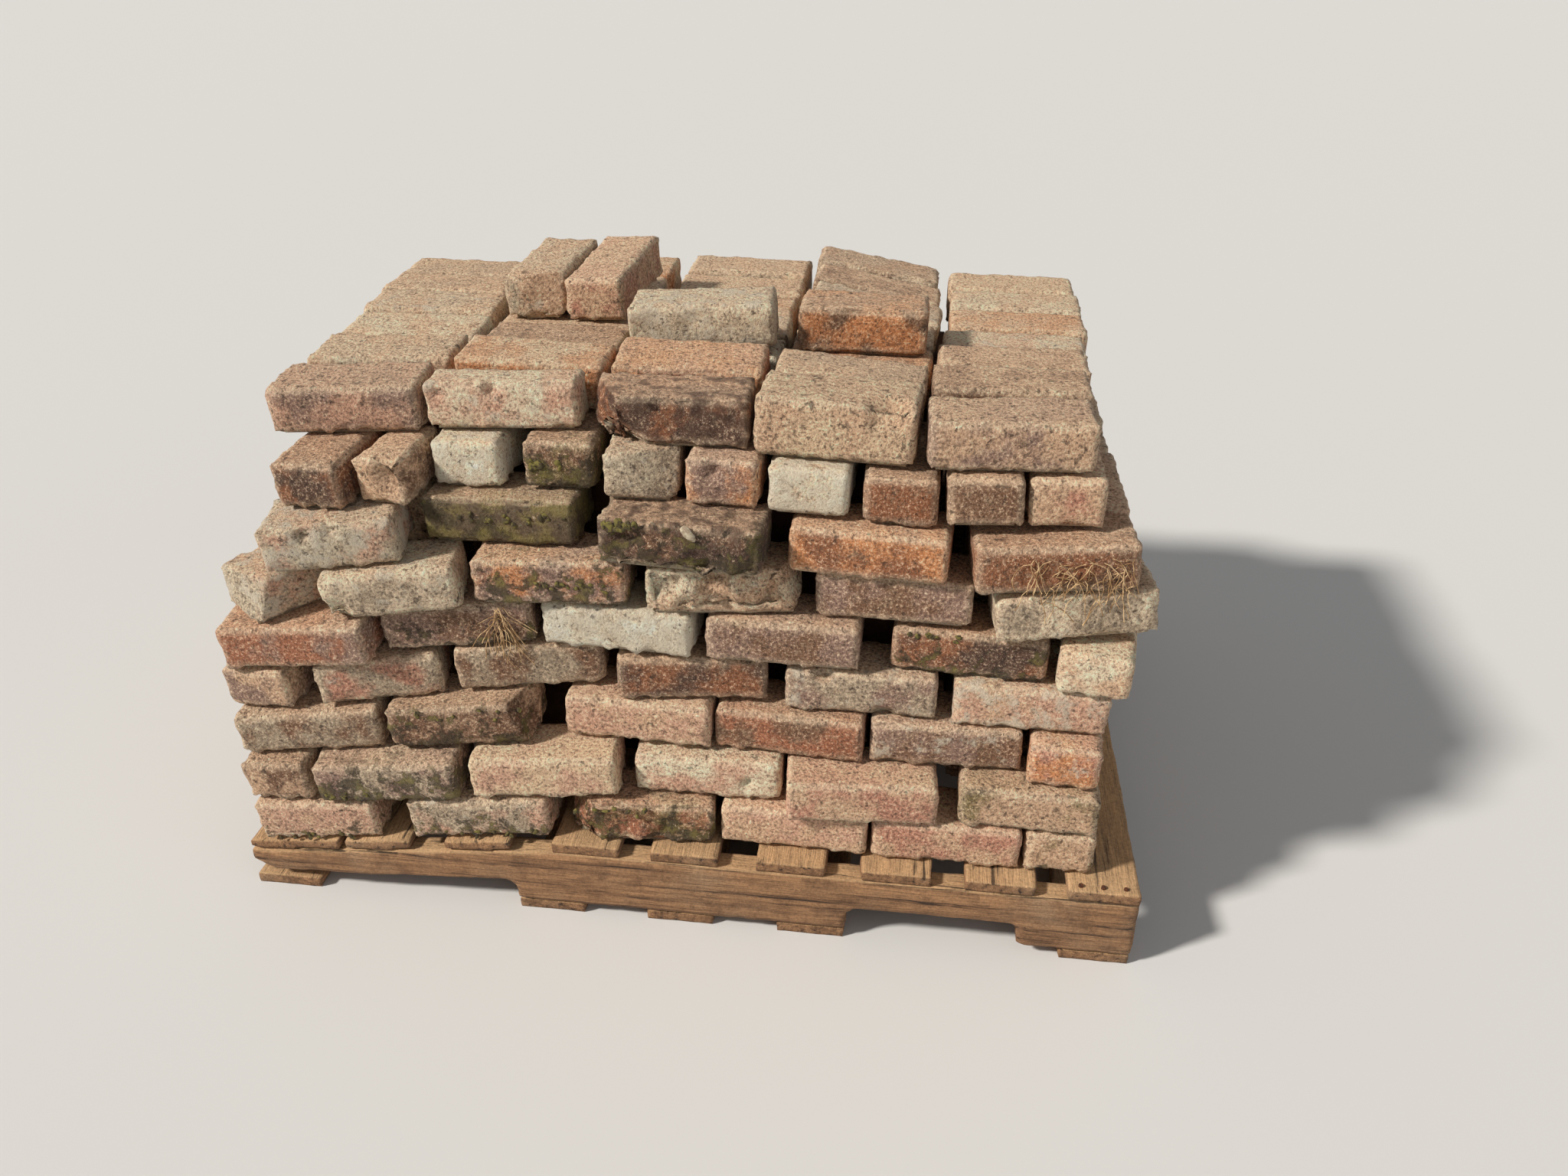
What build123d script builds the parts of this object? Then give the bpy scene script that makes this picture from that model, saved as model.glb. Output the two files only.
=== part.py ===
"""A loaded pallet of old bricks, laid dry in nine courses on a notched stringer pallet.

The stringers run along X, the deck boards along Y, and the front is at low Y. The foot
under the front left corner has broken off, so the deck and the bricks sag towards it.
"""
import os
from dataclasses import dataclass
from math import cos, floor, radians, sin

from build123d import *

# Pallet
PALLET_L = 1219.0
PALLET_W = 1016.0
STRINGER_T = 38.0
STRINGER_H = 89.0
NOTCH_L = 229.0
NOTCH_H = 38.0
NOTCH_END = 152.0
NOTCH_R = 12.0
DECK_T = 16.0
DECK_W = 97.0
DECK_INSET = 4.0
WIDE_DECK_W = 133.0
LEAD_INSET = 2.0
BASE_T = 16.0
BASE_W = 97.0

# The gaps between the deck boards, from the left, as they are on this pallet
DECK_GAPS = [2.5, 46.0, 57.0, 37.0, 48.0, 40.0, 42.0, 35.5]

# Sag of the front left corner, from the crack in the front stringer to its left end
CRACK_X = -PALLET_L / 2 + 424.5
CRACK_MOUTH = 6.0
CRACK_DEPTH = 37.0
CRACK_RUN = 34.0
CORNER_DROP = 45.0

# What is left of the broken foot: distance from the left end, depth below the stringer's top
STUMP = [(0.0, 17.0), (32.0, 35.0), (128.0, 42.0), (190.0, 44.0)]

# Bricks, with the old mortar that is left on their lower beds
BRICK_L = 197.0
BRICK_W = 92.0
BRICK_H = 60.0
MORTAR_T = 4.0
MORTAR_INSET = 11.0
WEAR = 5.0
WEAR_STEPS = 10
JOINT = 4.0
SEAT = 0.3

# A broken end: how far in it is at mid height, and how its face splays and leans
BREAK_IN = 12.0
BREAK_SPLAY = 0.45
BREAK_LEAN = 0.35

FRONT = -PALLET_W / 2
BACK = PALLET_W / 2
LEFT = -PALLET_L / 2
RIGHT = PALLET_L / 2
STRINGER_TOP = BASE_T + STRINGER_H
DECK_TOP = STRINGER_TOP + DECK_T
COURSE_H = BRICK_H + MORTAR_T + SEAT

# The sag ends at the near face of the middle stringer
SAG_BACK = -STRINGER_T / 2


def drop(x, y):
    """How far the pallet's top has gone down at a place, most at the front left corner."""
    along = min(max((CRACK_X - x) / (CRACK_X - LEFT), 0.0), 1.05)
    across = min(max((SAG_BACK - y) / (SAG_BACK - FRONT), 0.0), 1.0)
    return CORNER_DROP * along * across


def slopes(x, y):
    """The fall of the sagging surface under a brick at a place, along X and along Y."""
    fall_x = (drop(x - BRICK_L / 2, y) - drop(x + BRICK_L / 2, y)) / BRICK_L
    fall_y = (drop(x, y - BRICK_W / 2) - drop(x, y + BRICK_W / 2)) / BRICK_W
    return fall_x, fall_y


def sagging_bar(xs, low, high, front, back):
    """A bar along Y between two heights, whose front part follows the sag at each x."""

    def section(y):
        lower = [(x, low - drop(x, y)) for x in xs]
        upper = [(x, high - drop(x, y)) for x in reversed(xs)]
        with BuildSketch(Plane.XZ.offset(-y)) as outline:
            with BuildLine():
                Polyline(lower + upper, close=True)
            make_face()
        return outline.sketch

    with BuildPart() as bar:
        loft([section(front), section(SAG_BACK)], ruled=True)
        extrude(section(SAG_BACK), amount=back - SAG_BACK, dir=(0, 1, 0))
    return bar.part


class Patch:
    """A convex piece of surface that bricks are laid on: its outline and its height."""

    def __init__(self, outline, height):
        self.outline = outline
        self.height = height


def kept_side(outline, inside):
    """The part of a convex outline where a function of the point isn't negative."""
    kept = []
    for number, point in enumerate(outline):
        before = outline[number - 1]
        here, there = inside(point), inside(before)
        if here * there < 0:
            part = there / (there - here)
            kept.append(tuple(b + part * (p - b) for b, p in zip(before, point)))
        if here >= 0:
            kept.append(point)
    return kept


def clipped(outline, window):
    """The part of one convex outline that lies inside another, both counterclockwise."""
    for number, start in enumerate(window):
        end = window[(number + 1) % len(window)]
        run, rise = end[0] - start[0], end[1] - start[1]
        outline = kept_side(
            outline, lambda point: run * (point[1] - start[1]) - rise * (point[0] - start[0])
        )
    return outline


def break_plane(length, width, broken):
    """The face of a broken end, in the brick's own axes. It faces the part that is left."""
    side = 1 if broken == "right" else -1
    mark = (side * (length / 2 - BREAK_IN), -width / 4, BRICK_H / 2)
    return Plane(mark, z_dir=(-side, BREAK_SPLAY, -BREAK_LEAN))


@dataclass
class Brick:
    """One brick, placed by the middle of its front face.

    x and setback are that point, setback counted from the pallet's front edge. turn is the
    angle about the vertical. rise_x and rise_y lift its right end or its far side, on top of
    the sag. broken names the end that has a piece missing.
    """

    x: float
    setback: float
    turn: float = 0.0
    header: bool = False
    length: float = BRICK_L
    width: float = BRICK_W
    height: float = BRICK_H
    rise_x: float = 0.0
    rise_y: float = 0.0
    broken: str = ""

    def __post_init__(self):
        angle = radians(self.turn)
        depth = self.length if self.header else self.width
        self.centre_x = self.x - sin(angle) * depth / 2
        self.centre_y = FRONT + self.setback + cos(angle) * depth / 2
        fall_x, fall_y = slopes(self.centre_x, self.centre_y)
        self.slope_x = fall_x + radians(self.rise_x)
        self.slope_y = fall_y + radians(self.rise_y)
        self.heading = angle + radians(90) if self.header else angle
        self.z = 0.0

    @property
    def plane(self):
        """The plane of the underside, its X along the brick's length."""
        ahead = (cos(self.heading), sin(self.heading))
        climb = self.slope_x * ahead[0] + self.slope_y * ahead[1]
        return Plane(
            origin=(self.centre_x, self.centre_y, self.z),
            x_dir=(*ahead, climb),
            z_dir=(-self.slope_x, -self.slope_y, 1),
        )

    def patch(self, up, inset, corner=0.0):
        """The section at a height above the underside, drawn in from the faces."""
        plane = self.plane
        end = self.length / 2 - inset
        side = self.width / 2 - inset
        outline = [(corner - end, -side), (end - corner, -side), (end, corner - side)]
        outline += [(end, side - corner), (end - corner, side), (corner - end, side)]
        outline += [(-end, side - corner), (-end, corner - side)]
        if self.broken:
            broken = break_plane(self.length, self.width, self.broken)
            outline = kept_side(
                outline, lambda spot: (Vector(*spot, up) - broken.origin).dot(broken.z_dir)
            )
        spots = [plane.from_local_coords((u, v, up)) for u, v in outline]
        x0, y0, z0 = tuple(spots[0])

        def height(x, y):
            return z0 + self.slope_x * (x - x0) + self.slope_y * (y - y0)

        return Patch([(spot.X, spot.Y) for spot in spots], height)

    def top(self):
        """The top and its worn edges, as flat steps that lie on or just over them."""
        steps = []
        for step in range(WEAR_STEPS):
            inset = WEAR * step / WEAR_STEPS
            below_top = WEAR - WEAR * (step + 1) / WEAR_STEPS
            corner = max(WEAR - 2 * inset, 0.0)
            steps.append(self.patch(MORTAR_T + self.height - below_top, inset, corner))
        return steps


def rectangle(left, right, front, back):
    return [(left, front), (right, front), (right, back), (left, back)]


def board_top(left, right, front, back):
    """The top of a deck board, in two patches that meet where the sag ends."""

    def height(x, y):
        return DECK_TOP - drop(x, y)

    return [
        Patch(rectangle(left, right, near, far), height)
        for near, far in ((front, SAG_BACK), (SAG_BACK, back))
    ]


def seat(brick, below):
    """Lower a brick until it rests on the highest point of what is under it."""
    brick.z = 0.0
    heights = []
    for under in (brick.patch(0.0, MORTAR_INSET), brick.patch(MORTAR_T, 0.0, WEAR)):
        for patch in below:
            for x, y in clipped(under.outline, patch.outline):
                heights.append(patch.height(x, y) - under.height(x, y))
    brick.z = max(heights) + SEAT


def brick_shape(length, width, height, broken):
    """One brick with worn arrises and the old mortar on its bed, at the origin."""
    with BuildPart() as unit:
        with Locations((0, 0, MORTAR_T)):
            Box(length, width, height, align=(Align.CENTER, Align.CENTER, Align.MIN))
        corners = unit.edges().filter_by(Axis.Z)
        rim = unit.faces().sort_by(Axis.Z)[-1].edges()
        chamfer(corners + rim, WEAR)
        bed = (length - 2 * MORTAR_INSET, width - 2 * MORTAR_INSET, MORTAR_T)
        Box(*bed, align=(Align.CENTER, Align.CENTER, Align.MIN))
        if broken:
            split(bisect_by=break_plane(length, width, broken), keep=Keep.TOP)
    return unit.part


def lay_course(bricks, below):
    """Seat the bricks of one course and return their solids."""
    shapes = {}
    laid = []
    for brick in bricks:
        seat(brick, below)
        kind = (brick.length, brick.width, brick.height, brick.broken)
        if kind not in shapes:
            shapes[kind] = brick_shape(*kind)
        laid.append(shapes[kind].moved(brick.plane.location))
    return laid


def side_column(left_end, front, back):
    """Stretchers one behind the other, whose left ends line up, between two depths."""
    count = floor((back - front + JOINT) / (BRICK_W + JOINT))
    if count < 1:
        return []
    spare = back - front - count * BRICK_W
    gap = spare / (count + 1)
    return [
        Brick(left_end + BRICK_L / 2, front + gap + i * (BRICK_W + gap)) for i in range(count)
    ]


def rear_row(left_end, right_end, setback, header_left):
    """A straight row along the back: whole bricks, and one header where there is room."""
    width = right_end - left_end
    count = floor((width + JOINT) / (BRICK_L + JOINT))
    spare = width - count * BRICK_L
    has_header = spare > BRICK_W + (count + 1) * JOINT
    if has_header:
        spare -= BRICK_W
    pieces = count + 1 if has_header else count
    gap = spare / (pieces - 1)
    row = []
    x = left_end
    if has_header and header_left:
        row.append(Brick(x + BRICK_W / 2, setback - BRICK_L + BRICK_W, header=True))
        x += BRICK_W + gap
    for _ in range(count):
        row.append(Brick(x + BRICK_L / 2, setback))
        x += BRICK_L + gap
    if has_header and not header_left:
        row.append(Brick(x + BRICK_W / 2, setback - BRICK_L + BRICK_W, header=True))
    return row


# The front row of each course, from the left, read from how the stack was laid
FRONT_ROWS = [
    [
        Brick(-500, 6, 2, length=172),
        Brick(-271, 11, 2),
        Brick(-52, 20, 5, broken="left"),
        Brick(151, 33, -1),
        Brick(353, 32, 0),
        Brick(502, 35, 0, header=True),
    ],
    [
        Brick(-547, 9, 0, header=True),
        Brick(-391, 4, 2),
        Brick(-179, 16, 5),
        Brick(34, 49, 1),
        Brick(241, 20, 5),
        Brick(454, 33, -1, length=180),
    ],
    [
        Brick(-498, 30, 5),
        Brick(-290, 38, 5, broken="right"),
        Brick(-63, 66, -2),
        Brick(138, 69, -3),
        Brick(343, 72, 1),
        Brick(492, 48, -5, header=True),
    ],
    [
        Brick(-562, 36, -4, header=True),
        Brick(-399, 52, 11, length=166),
        Brick(-204, 83, 9),
        Brick(11, 82, 8),
        Brick(229, 84, 0),
        Brick(445, 78, -1),
    ],
    [
        Brick(-498, 30, 1),
        Brick(-291, 74, 7),
        Brick(-87, 78, -3),
        Brick(126, 79, -1),
        Brick(362, 95, -3),
        Brick(514, 70, -8, header=True, rise_y=5),
    ],
    [
        Brick(-503, 62, 45, length=110, broken="left"),
        Brick(-363, 45, 9, length=172),
        Brick(-166, 72, 3),
        Brick(54, 80, 8, broken="right"),
        Brick(262, 100, -2),
        Brick(490, 85, 6, rise_x=6),
    ],
    [
        Brick(-434, 51, 9, length=172),
        Brick(-236, 110, -2, length=200),
        Brick(0, 60, -3, length=203),
        Brick(227, 89, -4),
        Brick(457, 80, 4, rise_x=4),
    ],
    [
        Brick(-467, 85, -6, header=True),
        Brick(-376, 95, -8, header=True, length=110, width=66),
        Brick(-280, 140, -2, header=True),
        Brick(-162, 137, -1, header=True),
        Brick(-56, 118, 1, header=True, broken="left"),
        Brick(45, 117, -2, header=True),
        Brick(151, 117, -2, header=True, width=100),
        Brick(263, 112, 0, header=True),
        Brick(365, 104, 1, header=True, rise_x=3),
        Brick(461, 115, 1, header=True, rise_x=2),
    ],
    [
        Brick(-441, 162, 2),
        Brick(-238, 168, 1, width=58),
        Brick(-22, 143, 3, broken="left"),
        Brick(178, 136, -4, width=100, height=74),
        Brick(389, 118, 2, rise_x=1.5),
    ],
]

# Ends and back of each course: left end, right end, and how far the back is stepped in
OUTLINES = [
    (-586, 547, 110),
    (-589, 545, 114),
    (-597, 549, 122),
    (-600, 544, 128),
    (-604, 556, 138),
    (-580, 550, 150),
    (-540, 548, 165),
    (-530, 520, 185),
]

# The bricks of the top course behind its front row, in five columns: setback of the first,
# then x, turn, rise of the right end and, where it leans, of the far side of each
TOP_ROW_GAP = 5.5
TOP_STEP = 179.0
TOP_COLUMNS = [
    (263, [(-433, 1, 0), (-432, 0, 0), (-438, 2, 0), (-452, 0, 0), (-456, 1, 0)]),
    (236, [(-225, 0, -3), (-224, -1, 0), (-229, 2, 0), (-226, 0, 0), (-232, 1, 0), (-230, 0, 0)]),
    (256, [(-20, 1, 0, 8), (-14, -2, 0), (-10, 1, 0), (-14, 0, 0), (-10, 2, 0), (-12, -1, 0)]),
    (251, [(184, -1, -4), (192, -3, 0), (194, -1, 0), (196, -3, -9), (193, -2, -10), (192, 0, -9)]),
    (224, [(391, 1, 0), (399, 2, 0), (404, 0, 0), (414, 1, 0), (414, -1, 0), (412, 0, 0)]),
]

# Two bricks lie on the top course, and two loose ones beside them have their ends in front
UPPER = [
    Brick(-16, 347, 3, rise_x=3),
    Brick(195, 380, -1, length=174),
]
LOOSE = {
    "loose_brick_left": Brick(
        -277, 452, -5, header=True, length=180, width=86, rise_x=3, rise_y=4, broken="left"
    ),
    "loose_brick_right": Brick(-186, 455, -5, header=True, width=86, rise_x=5, rise_y=4),
}

# The core that stands for the bricks hidden inside, as low as the sag at its front corners
CORE_LEFT = -318.0
CORE_RIGHT = 312.0
CORE_FRONT = FRONT + 225
CORE_UPPER_FRONT = FRONT + 350
CORE_BACK = BACK - 316
HEADER_COURSE = 8
CORE_LOW = DECK_TOP + SEAT
CORE_STEP = DECK_TOP + (HEADER_COURSE - 1) * COURSE_H - drop(CORE_LEFT, CORE_FRONT)
CORE_TOP = DECK_TOP + HEADER_COURSE * COURSE_H - drop(CORE_LEFT, CORE_UPPER_FRONT)


def whole_course(number):
    """All the bricks of a course but the hidden ones: front row, sides and back row."""
    front_row = FRONT_ROWS[number]
    left_end, right_end, step = OUTLINES[number]
    rear_setback = PALLET_W - step - BRICK_W
    first, last = front_row[0], front_row[-1]
    ring = list(front_row)
    header_left = number % 2 == 1
    back_row = rear_row(left_end, right_end, rear_setback, header_left)
    ring += back_row
    for end, corner, near_back in (
        (left_end, first, back_row[0]),
        (right_end - BRICK_L, last, back_row[-1]),
    ):
        depth = corner.length if corner.header else corner.width
        lean = abs(sin(radians(corner.turn))) * (corner.width if corner.header else corner.length)
        front = corner.setback + depth + lean
        ring += side_column(end, front, near_back.setback)
    return ring


def top_course():
    """The top course, where every brick shows."""
    bricks = list(FRONT_ROWS[-1])
    pitch = BRICK_W + TOP_ROW_GAP
    for first_setback, places in TOP_COLUMNS:
        room = PALLET_W - TOP_STEP - first_setback
        for row in range(floor((room + TOP_ROW_GAP) / pitch)):
            x, turn, *rises = places[row % len(places)]
            setback = first_setback + row * pitch
            bricks.append(Brick(x, setback, turn, False, BRICK_L, BRICK_W, BRICK_H, *rises))
    return bricks


def stringer_outline(sagging):
    """The side of a stringer on its long face: two fork notches, and for the front one the
    bent left end with its foot broken off."""

    def fall(x):
        return drop(x, FRONT) if sagging else 0.0

    base = BASE_T
    notch = BASE_T + NOTCH_H
    top = STRINGER_TOP
    right_notch = (RIGHT - NOTCH_END - NOTCH_L, RIGHT - NOTCH_END)
    left_notch = (LEFT + NOTCH_END, LEFT + NOTCH_END + NOTCH_L)
    points = [
        (RIGHT, base),
        (RIGHT, top),
        (CRACK_X, top),
        (LEFT, top - fall(LEFT)),
    ]
    if sagging:
        points += [(LEFT + along, top - deep - fall(LEFT + along)) for along, deep in STUMP]
    else:
        points += [(LEFT, base), (left_notch[0], base), (left_notch[0], notch)]
    points += [
        (left_notch[1], notch - fall(left_notch[1])),
        (left_notch[1], base),
        (right_notch[0], base),
        (right_notch[0], notch),
        (right_notch[1], notch),
        (right_notch[1], base),
    ]
    return points


def stringer(y_front, sagging):
    """A notched stringer with its near face at a depth."""
    with BuildPart() as bar:
        with BuildSketch(Plane.XZ.offset(-y_front)) as side:
            with BuildLine():
                Polyline(stringer_outline(sagging), close=True)
            make_face()
            whole_notches = side.vertices().filter_by(
                lambda v: abs(v.Y - BASE_T - NOTCH_H) < 0.1 and (v.X > CRACK_X or not sagging)
            )
            fillet(whole_notches, NOTCH_R)
        extrude(amount=STRINGER_T, dir=(0, 1, 0))
        if sagging:
            with BuildSketch(Plane.XZ.offset(-y_front)):
                with BuildLine():
                    Polyline(
                        (CRACK_X - CRACK_MOUTH, STRINGER_TOP + 1),
                        (CRACK_X, STRINGER_TOP + 1),
                        (CRACK_X - CRACK_RUN, STRINGER_TOP - CRACK_DEPTH),
                        close=True,
                    )
                make_face()
            extrude(amount=STRINGER_T, dir=(0, 1, 0), mode=Mode.SUBTRACT)
    return bar.part


os.makedirs("parts", exist_ok=True)

# Stringers
stringer_places = {
    "stringer_front": (FRONT, True),
    "stringer_middle": (-STRINGER_T / 2, False),
    "stringer_back": (BACK - STRINGER_T, False),
}
for name, (y_front, sagging) in stringer_places.items():
    with BuildPart() as beam:
        add(stringer(y_front, sagging))
    beam.part.label = name
    export_step(beam.part, f"parts/{name}.step")

# Deck boards, from the left. What the boards leave of the length is shared out as gaps.
board_widths = [WIDE_DECK_W] + [DECK_W] * len(DECK_GAPS)
spare = PALLET_L - LEAD_INSET - sum(board_widths)
deck = []
low = LEFT + LEAD_INSET
for number, (width, gap) in enumerate(zip(board_widths, DECK_GAPS + [0.0]), start=1):
    span = (low, low + width)
    low += width + spare * gap / sum(DECK_GAPS)
    deck += board_top(*span, FRONT + DECK_INSET, BACK - DECK_INSET)
    with BuildPart() as board:
        add(sagging_bar(span, STRINGER_TOP, DECK_TOP, FRONT + DECK_INSET, BACK - DECK_INSET))
    board.part.label = f"deck_board_{number}"
    export_step(board.part, f"parts/deck_board_{number}.step")

# Bottom boards: one at each end, three between the notches
inner = NOTCH_END + NOTCH_L
BASE_LEFTS = [LEFT, LEFT + inner, -BASE_W / 2, RIGHT - inner - BASE_W, RIGHT - BASE_W]
for number, low in enumerate(BASE_LEFTS, start=1):
    with BuildPart() as slat:
        with Locations((low + BASE_W / 2, 0, 0)):
            Box(
                BASE_W,
                PALLET_W - 2 * DECK_INSET,
                BASE_T,
                align=(Align.CENTER, Align.CENTER, Align.MIN),
            )
    slat.part.label = f"base_board_{number}"
    export_step(slat.part, f"parts/base_board_{number}.step")

# Courses of bricks, each seated on the one below
core_top = rectangle(CORE_LEFT, CORE_RIGHT, CORE_UPPER_FRONT, CORE_BACK)
below = deck
for number in range(len(FRONT_ROWS)):
    top = number == len(FRONT_ROWS) - 1
    bricks = top_course() if top else whole_course(number)
    if top:
        below.append(Patch(core_top, lambda x, y: CORE_TOP))
    laid = lay_course(bricks, below)
    below = [patch for brick in bricks for patch in brick.top()]
    if top:
        laid += lay_course(UPPER, below)
    with BuildPart() as course:
        add(laid)
    course.part.label = f"brick_course_{number + 1}"
    export_step(course.part, f"parts/brick_course_{number + 1}.step")

# Loose bricks on top
for name, brick in LOOSE.items():
    with BuildPart() as loose:
        add(lay_course([brick], below))
    loose.part.label = name
    export_step(loose.part, f"parts/{name}.step")

# The core
with BuildPart() as core:
    for front, high in ((CORE_FRONT, CORE_STEP), (CORE_UPPER_FRONT, CORE_TOP)):
        size = (CORE_RIGHT - CORE_LEFT, CORE_BACK - front, high - CORE_LOW)
        with Locations((CORE_LEFT, front, CORE_LOW)):
            Box(*size, align=(Align.MIN, Align.MIN, Align.MIN))
core.part.label = "brick_core"
export_step(core.part, "parts/brick_core.step")
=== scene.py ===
"""A loaded pallet of old bricks: worn bricks, weathered boards, nails, moss and dried roots,
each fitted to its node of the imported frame."""

import math
import random

import bpy
import numpy as np
from bpy.props import FloatProperty, FloatVectorProperty, IntProperty, PointerProperty
from mathutils import Matrix, Vector


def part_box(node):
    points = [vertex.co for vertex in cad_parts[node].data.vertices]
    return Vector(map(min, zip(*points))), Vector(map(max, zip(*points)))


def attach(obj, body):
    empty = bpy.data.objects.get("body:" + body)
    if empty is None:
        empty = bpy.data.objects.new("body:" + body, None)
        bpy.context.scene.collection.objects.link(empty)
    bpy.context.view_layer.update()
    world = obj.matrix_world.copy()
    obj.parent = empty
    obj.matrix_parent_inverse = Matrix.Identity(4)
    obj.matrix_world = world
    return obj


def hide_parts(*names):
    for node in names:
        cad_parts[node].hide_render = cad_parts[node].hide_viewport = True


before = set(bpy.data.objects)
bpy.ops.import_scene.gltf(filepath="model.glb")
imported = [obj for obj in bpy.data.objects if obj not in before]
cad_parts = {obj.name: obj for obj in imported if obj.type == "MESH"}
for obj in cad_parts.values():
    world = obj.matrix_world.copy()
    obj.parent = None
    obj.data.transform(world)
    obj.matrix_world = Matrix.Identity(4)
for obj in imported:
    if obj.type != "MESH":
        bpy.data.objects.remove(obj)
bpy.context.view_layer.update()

bl_info = {
    "name": "Pallet of Old Bricks",
    "version": (1, 0, 0),
    "blender": (4, 5, 0),
    "location": "3D View > Sidebar > Pallet",
    "description": "Worn bricks and weathered boards on the frame of a loaded pallet",
    "category": "Object",
}

# The photograph's camera, in the pallet's frame
CAMERA_PLACE = Vector((0.265, -1.737, 1.265))
CAMERA_YAW = 5.97
CAMERA_PITCH = 30.12
CAMERA_ROLL = 1.06
CAMERA_LENS = 28.5
SENSOR_WIDTH = 36

# How strongly the sky lights the object, and how bright it looks behind it
SKY_LIGHT = 0.25
SKY_SEEN = 0.8
SKY_COLOUR = (0.92, 0.93, 0.95)

# Each lamp's place, width in degrees, strength and colour
LAMPS = {
    "key": ((-4.6, -2.5, 4.0), 6, 3.7, (1.0, 0.96, 0.9)),
    "fill": ((3.6, -3.4, 2.4), 60, 0.25, (0.92, 0.96, 1.0)),
}
FLOOR_SIZE = 160
FLOOR_COLOUR = (0.72, 0.71, 0.69)
FLOOR_ROUGHNESS = 0.9

# The sockets of a colour mix: its share, first colour and second colour, then the result
MIX_INPUTS = (0, 6, 7)
MIX_RESULT = 2

# The highest channel of a brightened colour
BRIGHTEST = 0.85

# Scale, detail and roughness of the noises in a brick, from the broadest to the finest
BRICK_NOISES = {
    "broad": (16, 6, 0.6),
    "moss_tint": (30, 3),
    "lime": (38, 8, 0.7),
    "moss": (46, 9, 0.7),
    "soot": (60, 6, 0.6),
    "mottle": (70, 7, 0.68),
    "pits": (110, 4, 0.6),
    "grit": (240, 4, 0.75),
    "grains": (620, 2),
}

# The noises in wood in the same way, and those of them that are drawn out along the grain
WOOD_NOISES = {
    "grain": (3.2, 7, 0.65),
    "fibre": (15, 5, 0.65),
    "stain": (9, 6),
    "soil": (34, 7, 0.7),
    "crumbs": (260, 3, 0.7),
}
DRAWN_OUT = ("grain", "fibre")
ALONG_GRAIN = 1.2
BESIDE_GRAIN = 34
THROUGH_BOARD = 46

# Where each cover starts and where it is full, in the values of the noise or slope it follows
EDGES = {
    "blotch": (0.44, 0.6),
    "dust": (0.3, 0.85),
    "level": (0.3, 0.8),
    "lime": (0.53, 0.66),
    "moss": (0.53, 0.6),
    "alive": (0.42, 0.6),
    "soot": (0.55, 0.66),
    "pits": (0.66, 0.7),
    "core": (0.4, 0.7),
    "pale_wood": (0.36, 0.62),
    "wood_dust": (0.5, 0.9),
    "checks": (0.6, 0.68),
    "cloud": (0.42, 0.6),
}

# How thick the uneven covers are at the least, and what the noise under them adds, then how
# thick the even ones are
COVERS = {
    "dust": (0.2, 0.65),
    # The arris cover is wear and a painted highlight on the edges
    "arris": (0.1, 0.8),
    "lime": (0.35, 0.7),
    "wood_dust": (0.3, 0.6),
}
# The pits and checks thicknesses paint shade into those hollows
THICKNESS = {"moss": 0.85, "soot": 0.7, "pits": 0.6, "mortar": 0.8, "checks": 0.85}

# How strongly a brick's own share of something shifts the noise that it follows
LEANS = {"lime": 0.55, "moss": 0.62, "soot": 0.5, "pits": 0.06}

# How much of its moss a level face has lost, and how moss thins towards a brick's top
MOSS_LOST = 0.6
MOSS_THINS = 0.06

# How bright clay and wood are, and how strongly the mottle and the grit, or the fibre and the
# crumbs, change that on either side of a noise's middle
CLAY_LIGHT = (1.4, 2.0, 3.4)
WOOD_LIGHT = (1.25, 2.0, 1.6)
NOISE_MIDDLE = 0.5

# How far each thing stands out of the clay or the wood, and the grit by how coarse a brick is
GRIT_HEIGHT = (0.9, 0.9)
CLAY_HEIGHTS = {"mottle": 0.9, "grains": 0.25, "limed": 0.2, "mossed": 0.8, "pitted": -0.7}
GRAIN_HEIGHT = 0.6
WOOD_HEIGHTS = {"fibre": 0.5, "crumbs": 0.3, "checks": -0.8}

# The noises of the core's colour, which is painted shade, and of its bumps, and the detail of
# plain clouds
CORE_CLOUDS = (12, 4)
CORE_GRIT = (90, 5)
CLOUD_DETAIL = 4

# How rough each finish is, and how deep its bumps are
DRY_ROUGHNESS = 0.95
WOOD_ROUGHNESS = 0.9
CLAY_BUMP = 0.0035
CORE_BUMP = 0.004
WOOD_BUMP = 0.004
PLAIN_BUMP = 0.001

# Old mortar left under each brick, and how far in from an edge its wear reaches
MORTAR_BED = 0.004
ARRIS_REACH = 0.011

# Spalling starts this far out from a brick's middle and is full a little farther out, both as
# shares of its half depth
SPALL_START = 0.75
SPALL_FADE = 0.2

# How a brick's surface is worn, in turn: the noise, its size, detail, contrast and intensity,
# which of its values leaves the surface in place, and the weights that it follows
BRICK_WEAR = [
    ("chips", 0.016, 2, 2.0, 1.0, 0.9, "arris"),
    ("spalls", 0.03, 3, 2.2, 1.0, 0.9, "spall"),
    ("hollow", 0.02, 1, 1.0, 2.0, 0.0, "sunk"),
    ("hand", 0.05, 1, 1.0, 1.0, 0.55, "coarse"),
    ("sand", 0.009, 2, 1.0, 1.0, 0.6, "coarse"),
]

# The unevenness that even a smooth brick has, the deepest hollow, and how far out a hollow's
# rim lies, in shares of its radius
LEAST_COARSE = 0.3
DEEPEST = 0.02
HOLLOW_RIM = 1.2

# The saw marks in wood: size and detail of their noise, and the value that stays in place
SAW_MARKS = (0.03, 2)
SAW_MIDDLE = 0.6

# A brick's grid, the steps of its weights, and what counts as one point, flat and level
GRID_DEPTH = 5
GRID_LARGEST = 0.99
WEIGHT_STEPS = 10
MERGE = 0.00001
FLAT = math.radians(1)
LEVEL = 0.9

COURSES = 9
DECK_BOARDS = 9


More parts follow.
